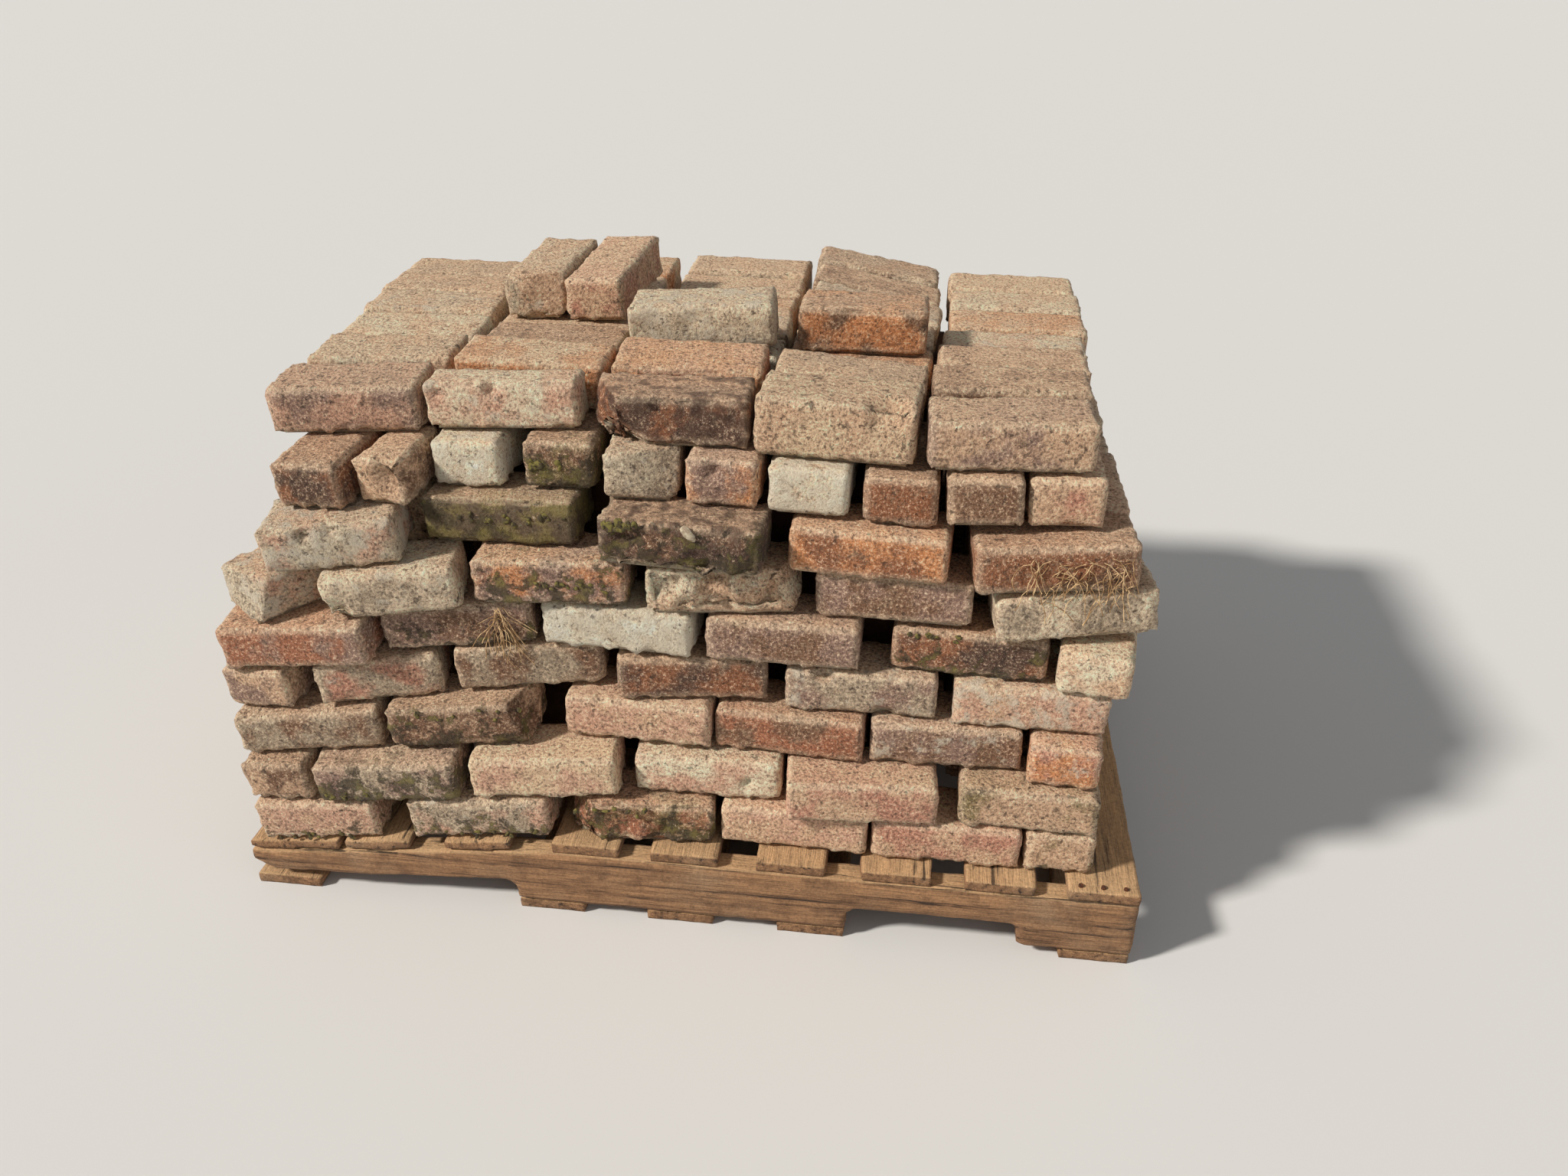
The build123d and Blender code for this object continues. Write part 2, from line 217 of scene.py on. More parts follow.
def paint(red, green, blue):
    """A colour as it looks on screen, from 0 to 255, in the renderer's linear numbers."""
    channels = [channel / 255 for channel in (red, green, blue)]
    return tuple(
        c / 12.92 if c <= 0.04045 else ((c + 0.055) / 1.055) ** 2.4 for c in channels
    )


# Fired clay and what has grown or dried on it, and the painted shade of its pits; dark and brown
# also paint the core's shade
TINTS = {
    "tan": paint(188, 152, 122),
    "sand": paint(200, 168, 136),
    "pink": paint(184, 142, 118),
    "rose": paint(170, 118, 96),
    "red": paint(150, 94, 66),
    "orange": paint(180, 118, 74),
    "rust": paint(132, 82, 52),
    "brown": paint(112, 80, 58),
    "dark": paint(78, 54, 42),
    "mauve": paint(134, 106, 92),
    "grey": paint(156, 138, 116),
    "stone": paint(178, 162, 138),
    "cream": paint(210, 186, 158),
    "lime": paint(220, 208, 186),
    "olive": paint(116, 100, 62),
    # Painted shade for the pits
    "painted_pit_shade": paint(58, 42, 32),
}

# Thin coats on clay and on wood, in turn: the noise, whether the coat lies on its peaks or in
# its dips, where it starts and where it is full, how thick it is, and its colour
CLAY_COATS = [
    ("mottle", "peaks", 0.5, 0.7, 0.3, TINTS["dark"]),
    ("mottle", "dips", 0.52, 0.7, 0.45, TINTS["sand"]),
    ("grit", "dips", 0.5, 0.64, 0.45, TINTS["dark"]),
    ("grit", "peaks", 0.53, 0.66, 0.5, TINTS["cream"]),
    ("grains", "peaks", 0.58, 0.68, 0.4, TINTS["cream"]),
]
WOOD_COATS = [
    ("stain", "peaks", 0.45, 0.7, 0.5, paint(146, 122, 96)),
    ("fibre", "dips", 0.56, 0.7, 0.55, paint(70, 48, 32)),
    ("soil", "peaks", 0.46, 0.66, 0.6, paint(92, 64, 42)),
]
WOOD_DUST = paint(196, 160, 118)
# Painted shade for the checks in the wood
CHECK_SHADE = paint(48, 34, 24)

# The darker and the lighter colour of rusted iron and of dried roots
IRON = (paint(62, 42, 32), paint(116, 68, 40))
ROOT = (paint(150, 116, 78), paint(214, 182, 138))

# One row for each course, from the left: tint, blotches, then shares of lime, moss and soot,
# coarseness and how far the front has spalled
FRONT_CLAYS = [
    [
        ("pink", "tan", 0.35, 0.45, 0.2, 0.6, 0),
        ("grey", "pink", 0.45, 0.5, 0.2, 0.6, 0),
        ("red", "olive", 0.25, 0.55, 0.3, 0.8, 0.4),
        ("pink", "tan", 0.3, 0.1, 0.05, 0.2, 0),
        ("rose", "tan", 0.25, 0.1, 0.1, 0.4, 0),
        ("tan", "olive", 0.2, 0.4, 0.2, 0.6, 0),
    ],
    [
        ("brown", "tan", 0.1, 0.3, 0.4, 0.9, 0),
        ("mauve", "grey", 0.35, 0.6, 0.2, 0.6, 0),
        ("sand", "pink", 0.35, 0.05, 0.05, 0.4, 0),
        ("cream", "pink", 0.4, 0.05, 0.1, 0.3, 0),
        ("rose", "tan", 0.3, 0.3, 0.1, 0.5, 0),
        ("tan", "olive", 0.2, 0.2, 0.3, 1.0, 0),
    ],
    [
        ("grey", "brown", 0.35, 0.2, 0.2, 0.6, 0),
        ("brown", "tan", 0.25, 0.55, 0.3, 0.8, 0),
        ("pink", "tan", 0.3, 0.05, 0.1, 0.4, 0),
        ("red", "brown", 0.2, 0.15, 0.3, 0.7, 0),
        ("mauve", "brown", 0.5, 0.1, 0.2, 0.4, 0),
        ("rose", "orange", 0.5, 0.05, 0.05, 0.4, 0),
    ],
    [
        ("tan", "mauve", 0.3, 0.1, 0.1, 0.5, 0),
        ("grey", "rose", 0.45, 0.1, 0.1, 0.5, 0),
        ("grey", "brown", 0.35, 0.15, 0.2, 0.5, 0),
        ("rust", "dark", 0.15, 0.1, 0.4, 0.6, 0),
        ("grey", "mauve", 0.5, 0.1, 0.2, 0.5, 0),
        ("pink", "tan", 0.6, 0.05, 0.1, 0.4, 0),
    ],
    [
        ("red", "mauve", 0.3, 0.1, 0.2, 0.5, 0),
        ("mauve", "brown", 0.25, 0.45, 0.3, 0.7, 0),
        ("stone", "lime", 0.75, 0.1, 0.1, 0.5, 0),
        ("mauve", "brown", 0.25, 0.1, 0.2, 0.5, 0),
        ("rust", "dark", 0.15, 0.5, 0.4, 0.7, 0),
        ("cream", "tan", 0.45, 0.0, 0.0, 0.3, 0),
    ],
    [
        ("stone", "pink", 0.6, 0.1, 0.15, 0.8, 0.2),
        ("cream", "grey", 0.55, 0.35, 0.15, 0.6, 0),
        ("mauve", "orange", 0.2, 0.55, 0.2, 0.6, 0),
        ("tan", "cream", 0.4, 0.15, 0.2, 0.9, 1.0),
        ("mauve", "brown", 0.2, 0.1, 0.2, 0.3, 0),
        ("grey", "cream", 0.45, 0.05, 0.1, 0.5, 0),
    ],
    [
        ("stone", "pink", 0.6, 0.1, 0.3, 0.8, 0),
        ("tan", "olive", 0.2, 0.82, 0.2, 0.6, 0),
        ("dark", "brown", 0.35, 0.6, 0.6, 0.9, 0.4),
        ("orange", "rust", 0.3, 0.1, 0.2, 0.4, 0),
        ("rust", "brown", 0.1, 0.15, 0.4, 0.6, 0),
    ],
    [
        ("rust", "dark", 0.1, 0.3, 0.4, 0.7, 0),
        ("tan", "brown", 0.15, 0.1, 0.2, 0.5, 0),
        ("cream", "lime", 0.7, 0.0, 0.05, 0.3, 0),
        ("brown", "olive", 0.15, 0.6, 0.4, 0.7, 0),
        ("stone", "grey", 0.5, 0.1, 0.2, 0.7, 0),
        ("mauve", "orange", 0.15, 0.05, 0.15, 0.3, 0),
        ("cream", "lime", 0.75, 0.1, 0.0, 0.2, 0),
        ("rust", "dark", 0.15, 0.1, 0.3, 0.6, 0),
        ("brown", "tan", 0.15, 0.05, 0.2, 0.4, 0),
        ("tan", "rose", 0.3, 0.05, 0.1, 0.4, 0),
    ],
    [
        ("pink", "mauve", 0.25, 0.1, 0.2, 1.0, 0),
        ("cream", "pink", 0.5, 0.1, 0.1, 0.5, 0),
        ("dark", "rust", 0.2, 0.1, 0.6, 0.6, 0.3),
        ("sand", "tan", 0.2, 0.05, 0.15, 1.0, 0),
        ("tan", "mauve", 0.25, 0.05, 0.25, 0.9, 0),
    ],
]

# The top course behind its front row, column by column and from the front backwards
TOP_CLAYS = [
    [
        ("tan", "stone", 0.4, 0.1, 0.3, 0.7, 0),
        ("cream", "tan", 0.4, 0.1, 0.1, 0.5, 0),
        ("stone", "tan", 0.5, 0.4, 0.1, 0.5, 0),
        ("tan", "grey", 0.3, 0.2, 0.1, 0.5, 0),
        ("grey", "tan", 0.3, 0.2, 0.1, 0.5, 0),
    ],
    [
        ("orange", "sand", 0.2, 0.1, 0.1, 0.5, 0),
        ("brown", "dark", 0.2, 0.1, 0.4, 0.7, 0),
        ("tan", "sand", 0.3, 0.1, 0.1, 0.5, 0),
        ("grey", "tan", 0.3, 0.2, 0.1, 0.5, 0),
        ("tan", "grey", 0.3, 0.1, 0.1, 0.5, 0),
    ],
    [
        ("orange", "red", 0.2, 0.05, 0.1, 0.5, 0),
        ("cream", "lime", 0.6, 0.1, 0.1, 0.6, 0.3),
        ("stone", "grey", 0.5, 0.1, 0.1, 0.5, 0),
        ("orange", "tan", 0.2, 0.1, 0.3, 0.7, 0),
        ("tan", "sand", 0.2, 0.1, 0.1, 0.5, 0),
        ("tan", "grey", 0.2, 0.1, 0.1, 0.5, 0),
    ],
    [
        ("grey", "tan", 0.35, 0.1, 0.2, 0.6, 0),
        ("orange", "brown", 0.2, 0.1, 0.5, 0.7, 0.3),
        ("sand", "dark", 0.4, 0.4, 0.3, 0.6, 0),
        ("stone", "brown", 0.5, 0.2, 0.2, 0.6, 0),
        ("brown", "tan", 0.2, 0.2, 0.3, 0.6, 0),
        ("grey", "brown", 0.3, 0.2, 0.2, 0.6, 0),
    ],
    [
        ("brown", "tan", 0.15, 0.1, 0.4, 0.9, 0),
        ("tan", "brown", 0.2, 0.1, 0.2, 0.6, 0),
        ("cream", "pink", 0.5, 0.1, 0.1, 0.5, 0),
        ("orange", "tan", 0.2, 0.05, 0.1, 0.5, 0),
        ("cream", "tan", 0.3, 0.1, 0.1, 0.5, 0),
        ("tan", "sand", 0.2, 0.1, 0.1, 0.5, 0),
    ],
]

# The rest of the stack is laid from the same bricks in turn, skipping some from one brick and
# from one course to the next
NEXT_BRICK = 5
NEXT_COURSE = 2
HIDDEN_CLAYS = [
    ("tan", "grey", 0.3, 0.2, 0.2, 0.6, 0),
    ("pink", "tan", 0.3, 0.1, 0.1, 0.5, 0),
    ("mauve", "brown", 0.3, 0.2, 0.2, 0.6, 0),
    ("grey", "pink", 0.45, 0.3, 0.2, 0.6, 0),
    ("rust", "dark", 0.15, 0.2, 0.4, 0.6, 0),
    ("sand", "tan", 0.3, 0.1, 0.1, 0.5, 0),
    ("brown", "olive", 0.2, 0.5, 0.3, 0.7, 0),
    ("rose", "tan", 0.3, 0.1, 0.1, 0.4, 0),
    ("stone", "cream", 0.55, 0.1, 0.1, 0.5, 0),
]

# The two bricks that lie on the top course, from the left, and the two loose ones
UPPER_CLAYS = [
    ("cream", "stone", 0.6, 0.05, 0.1, 0.6, 0.2),
    ("orange", "brown", 0.2, 0.1, 0.4, 0.7, 0.2),
]
LOOSE_CLAYS = {
    "loose_brick_left": ("tan", "stone", 0.45, 0.1, 0.2, 0.7, 0.3),
    "loose_brick_right": ("tan", "rose", 0.2, 0.05, 0.15, 0.5, 0),
}

# What sticks to a front brick, by course and place from the left: its kind, from where to
# where along the front and how high, as shares of the half sizes, then how many and how big
GROWTHS = {
    (1, 1): [("moss", -0.8, 0.6, -0.6, 9, 0.0035)],
    (1, 2): [("moss", -0.9, 0.9, -0.5, 10, 0.0035)],
    (1, 3): [("moss", -0.9, 0.1, 0.9, 10, 0.004)],
    (2, 2): [("moss", -0.9, -0.2, -0.4, 8, 0.004)],
    (3, 2): [("moss", -0.8, 0.9, 0.9, 10, 0.0035)],
    (5, 2): [("rootlets", 0.52, 0.68, 0.9, 34, 0.055)],
    (5, 5): [("moss", -0.9, 0.2, 0.9, 9, 0.0035)],
    (6, 3): [("moss", -0.2, 0.9, 0.1, 12, 0.0035)],
    (7, 2): [("moss", -0.5, 0.9, 0.4, 16, 0.004)],
    (7, 3): [("moss", -0.9, -0.5, 1.0, 14, 0.0055), ("crumb", 0.1, 0.15, 1.0, 1, 0.009)],
    (7, 5): [("rootlets", -0.35, 0.95, 0.6, 60, 0.045)],
    (8, 4): [("moss", -0.8, 0.1, 0.2, 12, 0.0045)],
}

# How far apart the random seeds of two courses are
COURSE_SEED = 100

# Two cracks in one front brick, each a row of nicks: where along it, how high, and how big
CRACKS_ALONG = (-0.18, 0.17)
NICKS_UP = (1.0, 0.85, 0.7, 0.55, 0.4)
NICK = 0.005

# Pits and chips in front bricks: where, as shares of the half sizes, then radius and depth
HOLLOWS = {
    (1, 3): [(-0.9, -1.0, -0.8, 0.03, 0.012)],
    (2, 4): [(0.55, -1.0, -0.1, 0.010, 0.007)],
    (4, 5): [(-0.5, -1.0, 0.9, 0.014, 0.008), (0.3, -1.0, -0.9, 0.016, 0.008)],
    (6, 2): [(-0.85, -1.0, -0.7, 0.022, 0.010)],
    (7, 1): [(-0.3, -1.0, 0.7, 0.010, 0.008), (0.1, -1.0, 0.8, 0.012, 0.008)],
    (7, 3): [(0.3, -1.0, -0.9, 0.014, 0.008), (-0.7, -1.0, 0.3, 0.014, 0.008)],
    (8, 2): [(0.8, -1.0, 0.5, 0.03, 0.014)],
    (8, 6): [(-0.2, -1.0, 0.6, 0.012, 0.006)],
    (9, 2): [(-0.1, -1.0, 0.75, 0.010, 0.006), (-0.8, -1.0, 0.6, 0.010, 0.006)],
    (9, 3): [
        (-0.85, -1.0, -0.9, 0.045, 0.02),
        (-0.9, -1.0, 0.9, 0.02, 0.01),
        *((x, -1.0, z, NICK, NICK) for x in CRACKS_ALONG for z in NICKS_UP),
    ],
    (9, 4): [(0.66, -0.85, 1.0, 0.026, 0.018), (0.5, -1.0, 0.5, 0.008, 0.006)],
}

# A clod's width, depth and height in shares of its size, how far clods stray down the face as
# a share of its half height, and their crumbly relief: its noise and strength in shares of
# the clod's size, its detail and the value that stays in place
CLOD_SHAPE = [(0.7, 1.5), (0.3, 0.55), (0.5, 1.1)]
CLOD_STRAY = 0.2
CLOD_NOISE = 0.7
CLOD_RELIEF = 0.9
CLOD_DETAIL = 2
CLOD_MIDDLE = 0.5

# A rootlet: how many steps it has, which way it starts, how it bends at each step and falls,
# its radius, how far clear of the face it starts, and how far starts stray down the face
ROOT_STEPS = (5, 9)
ROOT_START = [(-1, 1), (-0.3, 0.1), (-1, 0.2)]
ROOT_BEND = [(-0.7, 0.7), (-0.2, 0.2)]
ROOT_FALL = -0.25
ROOT_RADIUS = 0.0006
ROOTS_CLEAR = 0.002
ROOTS_STRAY = 0.7

# Nail heads in the ends of a deck board, across the board and in from its end
NAIL_ACROSS = [0.2, 0.5, 0.8]
NAIL_IN = 0.012
NAIL_TALL = 0.0025
NAIL_SIDES = 12


class BrickSizes(bpy.types.PropertyGroup):
    """What a user would change on the bricks."""

    fine_grid: FloatProperty(
        name="Fine grid",
        description="Mesh size of the bricks in front and on top",
        default=0.0062,
        unit="LENGTH",
    )
    coarse_grid: FloatProperty(
        name="Coarse grid",
        description="Mesh size of the bricks at the sides and the back",
        default=0.0085,
        unit="LENGTH",
    )
    arris_wear: FloatProperty(
        name="Arris wear",
        description="How deep the edges are chipped",
        default=0.007,
        unit="LENGTH",
    )
    face_relief: FloatProperty(
        name="Face relief",
        description="How uneven the faces are",
        default=0.0028,
        unit="LENGTH",
    )
    spall_depth: FloatProperty(
        name="Spall depth",
        description="How deep a spalled front has broken away",
        default=0.022,
        unit="LENGTH",
    )
    dust: FloatVectorProperty(
        name="Dust",
        description="Colour of the dust on the tops",
        default=paint(214, 177, 144),
        subtype="COLOR",
    )
    moss: FloatVectorProperty(
        name="Moss",
        description="Colour of living moss",
        default=paint(118, 108, 54),
        subtype="COLOR",
    )
    dead_moss: FloatVectorProperty(
        name="Dead moss",
        description="Colour of dried moss and dirt",
        default=paint(68, 58, 38),
        subtype="COLOR",
    )
    mortar: FloatVectorProperty(
        name="Mortar",
        description="Colour of the old lime mortar",
        default=paint(196, 182, 156),
        subtype="COLOR",
    )


class WoodSizes(bpy.types.PropertyGroup):
    """What a user would change on the pallet's boards."""

    grid: FloatProperty(
        name="Grid",
        description="Mesh size of the boards",
        default=0.0075,
        unit="LENGTH",
    )
    roughness: FloatProperty(
        name="Saw roughness",
        description="How uneven the sawn faces and edges are",
        default=0.003,
        unit="LENGTH",
    )
    pale: FloatVectorProperty(
        name="Pale wood",
        description="Colour of the sun-bleached wood",
        default=paint(150, 112, 78),
        subtype="COLOR",
    )
    deep: FloatVectorProperty(
        name="Deep wood",
        description="Colour of the darker grain",
        default=paint(104, 74, 50),
        subtype="COLOR",
    )
    nail_head: FloatProperty(
        name="Nail head",
        description="Diameter of a nail's head",
        default=0.0065,
        unit="LENGTH",
    )


class Wire:
    """A socket in a finish that takes part in Python sums."""

    def __init__(self, finish, socket):
        self.finish = finish
        self.socket = socket

    def sum(self, operation, *values):
        links = dict(enumerate(values))
        return self.finish.node("ShaderNodeMath", {"operation": operation}, links)

    def vector(self, operation, links):
        links = {0: self, **links}
        return self.finish.node("ShaderNodeVectorMath", {"operation": operation}, links)

    def __add__(self, other):
        return self.sum("ADD", self, other)

    def __radd__(self, other):
        return self.sum("ADD", other, self)

    def __sub__(self, other):
        return self.sum("SUBTRACT", self, other)

    def __rsub__(self, other):
        return self.sum("SUBTRACT", other, self)

    def __mul__(self, other):
        return self.sum("MULTIPLY", self, other)

    def __rmul__(self, other):
        return self.sum("MULTIPLY", other, self)

    def above(self, low, high):
        """A soft step: 0 under low, 1 over high."""
        links = {"Value": self, "From Min": low, "From Max": high}
        return self.finish.node("ShaderNodeMapRange", {"interpolation_type": "SMOOTHSTEP"}, links)

    def ranged(self, least, gain):
        """At least so much, and more where this is higher."""
        return least + self * gain

    def swing(self, gain):
        """How far this is over or under the middle of a noise."""
        return (self - NOISE_MIDDLE) * gain

    def part(self, name):
        """X, Y or Z of a vector."""
        return self.finish.node("ShaderNodeSeparateXYZ", {}, {"Vector": self}, name)

    def scaled(self, *factors):
        """A vector with each axis scaled on its own."""
        return self.vector("MULTIPLY", {1: factors})

    def lit(self, broad, fine, light):
        """A colour made brighter or darker by two noises, and never quite white."""
        gain = light[0] + broad.swing(light[1]) + fine.swing(light[2])
        bright = self.vector("SCALE", {"Scale": gain})
        return bright.vector("MINIMUM", {1: (BRIGHTEST, BRIGHTEST, BRIGHTEST)})

    def raised(self, layers, heights):
        """A height with the height of each layer added."""
        height = self
        for name, tall in heights.items():
            height = height + layers[name] * tall
        return height


class Finish:
    """A material under construction."""

    def __init__(self, name):
        self.material = bpy.data.materials.new(name)
        self.begin(self.material)
        self.place = self.node("ShaderNodeTexCoord", output="Object")

    def begin(self, holder):
        """An empty node tree on a material or a world."""
        holder.use_nodes = True
        self.tree = holder.node_tree
        self.tree.nodes.clear()

    def node(self, kind, settings=None, links=None, output=0):
        """Any node: its type, its settings, and the values or wires of its sockets."""
        made = self.tree.nodes.new(kind)
        for name, value in (settings or {}).items():
            setattr(made, name, value)
        for name, value in (links or {}).items():
            socket = made.inputs[name]
            if isinstance(value, Wire):
                self.tree.links.new(value.socket, socket)
            elif socket.type == "RGBA" and len(value) == 3:
                socket.default_value = (*value, 1.0)
            else:
                socket.default_value = value
        return Wire(self, made.outputs[output])

    def mix(self, first, second, share):
        """One colour turning into another."""
        links = dict(zip(MIX_INPUTS, (share, first, second)))
        return self.node("ShaderNodeMix", {"data_type": "RGBA"}, links, MIX_RESULT)

    def coated(self, colour, noises, coats):
        """A colour under thin coats of others."""
        for noise, side, start, full, thick, coat in coats:
            cover = noises[noise] if side == "peaks" else 1 - noises[noise]
            colour = self.mix(colour, coat, cover.above(start, full) * thick)
        return colour

    def noise(self, scale, detail, roughness=0.55, place=None):
        links = {
            "Vector": place or self.place,
            "Scale": scale,
            "Detail": detail,
            "Roughness": roughness,
        }
        return self.node("ShaderNodeTexNoise", {}, links)

    def attribute(self, name, output="Color"):
        return self.node("ShaderNodeAttribute", {"attribute_name": name}, {}, output)

    def channel(self, name, letter):
        """Red, green or blue of a colour attribute."""
        links = {"Color": self.attribute(name)}
        return self.node("ShaderNodeSeparateColor", {}, links, letter)

    def faces_up(self):
        """How far a surface faces up: 1 on top and 0 on an upright face."""
        return self.node("ShaderNodeNewGeometry", output="Normal").part("Z")

    def close(self, colour, roughness, height, bump, metallic=0.0):
        """Shader and output, with the height as a bump."""
        normal = self.node("ShaderNodeBump", {}, {"Height": height, "Distance": bump})
        links = {
            "Base Color": colour,
            "Roughness": roughness,
            "Metallic": metallic,
            "Normal": normal,
        }
        self.end_with(self.node("ShaderNodeBsdfPrincipled", {}, links))

    def end_with(self, shader, kind="ShaderNodeOutputMaterial"):
        end = self.tree.nodes.new(kind)
        self.tree.links.new(shader.socket, end.inputs["Surface"])


class Sky(Finish):
    """A world under construction."""

    def __init__(self, name):
        self.world = bpy.data.worlds.new(name)
        self.begin(self.world)


def brick_finish(sizes):
    """Old brick: fired clay in two tints, sand, pits with painted shade, arrises paled by wear
    and a painted highlight, lime, moss, soot and dust.
    """
    finish = Finish("worn_clay")
    lime = finish.channel("weather", "Red")
    moss = finish.channel("weather", "Green")
    soot = finish.channel("weather", "Blue")
    coarse = finish.channel("wear", "Red")
    arris = finish.channel("wear", "Green")
    bed = finish.channel("wear", "Blue")
    height_in_brick = finish.attribute("spot", "Vector").part("Z")
    noises = {name: finish.noise(*shape) for name, shape in BRICK_NOISES.items()}
    broad, mottle, grit = noises["broad"], noises["mottle"], noises["grit"]

    tint, blotch = finish.attribute("tint"), finish.attribute("blotch")
    colour = finish.mix(tint, blotch, broad.above(*EDGES["blotch"]))
    faces_up = finish.faces_up()
    dust = faces_up.above(*EDGES["dust"]) * broad.ranged(*COVERS["dust"])
    colour = finish.mix(colour, tuple(sizes.dust), dust)
    colour = finish.coated(colour, noises, CLAY_COATS)
    # Paler arrises: worn clay together with a painted highlight along the edges
    colour = finish.mix(colour, TINTS["cream"], arris * grit.ranged(*COVERS["arris"]))
    colour = colour.lit(mottle, grit, CLAY_LIGHT)

    limed = (noises["lime"] + lime.swing(LEANS["lime"])).above(*EDGES["lime"])
    colour = finish.mix(colour, TINTS["lime"], limed * grit.ranged(*COVERS["lime"]))

    side_on = 1 - faces_up.above(*EDGES["level"]) * MOSS_LOST
    mossed = noises["moss"] + moss.swing(LEANS["moss"]) - height_in_brick * MOSS_THINS
    mossed = mossed.above(*EDGES["moss"]) * side_on
    alive = noises["moss_tint"].above(*EDGES["alive"])
    moss_colour = finish.mix(tuple(sizes.dead_moss), tuple(sizes.moss), alive)
    colour = finish.mix(colour, moss_colour, mossed * THICKNESS["moss"])

    sooty = (noises["soot"] + soot.swing(LEANS["soot"])).above(*EDGES["soot"])
    colour = finish.mix(colour, TINTS["dark"], sooty * THICKNESS["soot"])

    pitted = (noises["pits"] + coarse * LEANS["pits"]).above(*EDGES["pits"])
    # Painted shade in the pits, where the bump sinks them
    colour = finish.mix(colour, TINTS["painted_pit_shade"], pitted * THICKNESS["pits"])
    colour = finish.mix(colour, tuple(sizes.mortar), bed * THICKNESS["mortar"])

    height = grit * coarse.ranged(*GRIT_HEIGHT)
    layers = {**noises, "limed": limed, "mossed": mossed, "pitted": pitted}
    finish.close(colour, DRY_ROUGHNESS, height.raised(layers, CLAY_HEIGHTS), CLAY_BUMP)


def core_shade_finish():
    """The inside of the stack, coloured with the painted shade seen through its joints."""
    finish = Finish("dark_core")
    cloud = finish.noise(*CORE_CLOUDS)
    colour = finish.mix(TINTS["dark"], TINTS["brown"], cloud.above(*EDGES["core"]))
    finish.close(colour, DRY_ROUGHNESS, finish.noise(*CORE_GRIT), CORE_BUMP)


def wood_finish(name, sizes, across):
    """Rough-sawn wood whose grain runs along X, or along Y with across set; its checks get
    painted shade.
    """
    finish = Finish(name)
    level = (BESIDE_GRAIN, ALONG_GRAIN) if across else (ALONG_GRAIN, BESIDE_GRAIN)
    stretched = finish.place.scaled(*level, THROUGH_BOARD)
    noises = {
        noise: finish.noise(*shape, place=stretched if noise in DRAWN_OUT else None)
        for noise, shape in WOOD_NOISES.items()
    }
    grain, fibre, crumbs = noises["grain"], noises["fibre"], noises["crumbs"]

    pale = grain.above(*EDGES["pale_wood"])
    colour = finish.mix(tuple(sizes.deep), tuple(sizes.pale), pale)
    colour = finish.coated(colour, noises, WOOD_COATS)
    dusty = noises["stain"].ranged(*COVERS["wood_dust"])
    dust = finish.faces_up().above(*EDGES["wood_dust"]) * dusty
    colour = finish.mix(colour, WOOD_DUST, dust)
    colour = colour.lit(fibre, crumbs, WOOD_LIGHT)
    checks = (1 - grain).above(*EDGES["checks"])
    # Painted shade in the checks, where the bump sinks them
    colour = finish.mix(colour, CHECK_SHADE, checks * THICKNESS["checks"])
    height = (grain * GRAIN_HEIGHT).raised({**noises, "checks": checks}, WOOD_HEIGHTS)
    finish.close(colour, WOOD_ROUGHNESS, height, WOOD_BUMP)


def plain_finish(name, first, second, scale, roughness=DRY_ROUGHNESS, metallic=0.0):
    """Two colours in small clouds, for nails, moss, mortar and roots."""
    finish = Finish(name)
    cloud = finish.noise(scale, CLOUD_DETAIL)
    colour = finish.mix(first, second, cloud.above(*EDGES["cloud"]))
    finish.close(colour, roughness, cloud, PLAIN_BUMP, metallic)


def select_only(*chosen):
    bpy.ops.object.select_all(action="DESELECT")
    for item in chosen:
        item.select_set(True)
    bpy.context.view_layer.objects.active = chosen[0]


def joined(pieces, name):
    """Several objects made one."""
    select_only(*pieces)
    if len(pieces) > 1:
        bpy.ops.object.join()
    piece = bpy.context.view_layer.objects.active
    piece.name = name
    return piece


def merged_copy(node, name):
    """A copy of a frame node's mesh, its loose triangles joined into flat faces."""
    piece = bpy.data.objects.new(name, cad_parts[node].data.copy())
    piece.data.materials.clear()
    bpy.context.collection.objects.link(piece)
    select_only(piece)
    bpy.ops.object.mode_set(mode="EDIT")
    bpy.ops.mesh.select_all(action="SELECT")
    bpy.ops.mesh.remove_doubles(threshold=MERGE)
    bpy.ops.mesh.dissolve_limited(angle_limit=FLAT)
    bpy.ops.object.mode_set(mode="OBJECT")
    return piece


def loose_parts(piece):
    """The piece's closed solids, as objects of their own."""
    select_only(piece)
    bpy.ops.object.mode_set(mode="EDIT")
    bpy.ops.mesh.select_all(action="SELECT")
    bpy.ops.mesh.separate(type="LOOSE")
    bpy.ops.object.mode_set(mode="OBJECT")
    return list(bpy.context.selected_objects)


def points(mesh):
    flat = np.empty(len(mesh.vertices) * 3, np.float32)
    mesh.vertices.foreach_get("co", flat)
    return flat.reshape(-1, 3)


def brick_axes(mesh):
    """A brick's own axes, to its right, into the stack and up, with its middle as origin."""
    level = [face for face in mesh.polygons if face.normal.z > LEVEL]
    up = max(level, key=lambda face: face.area).normal.normalized()
    spans = [
        mesh.vertices[edge.vertices[1]].co - mesh.vertices[edge.vertices[0]].co
        for edge in mesh.edges
    ]
    along = max(spans, key=lambda span: span.length)
    along = (along - up * along.dot(up)).normalized()
    right = along if abs(along.x) > abs(along.y) else along.cross(up)
    if right.x < 0:
        right = -right
    deep = up.cross(right)
    turn = Matrix((right, deep, up)).transposed()
    own = points(mesh) @ np.array(turn)
    low, high = own.min(0), own.max(0)
    middle = turn @ Vector((low + high) / 2)
    return Matrix.Translation(middle) @ turn.to_4x4(), Vector((high - low) / 2)


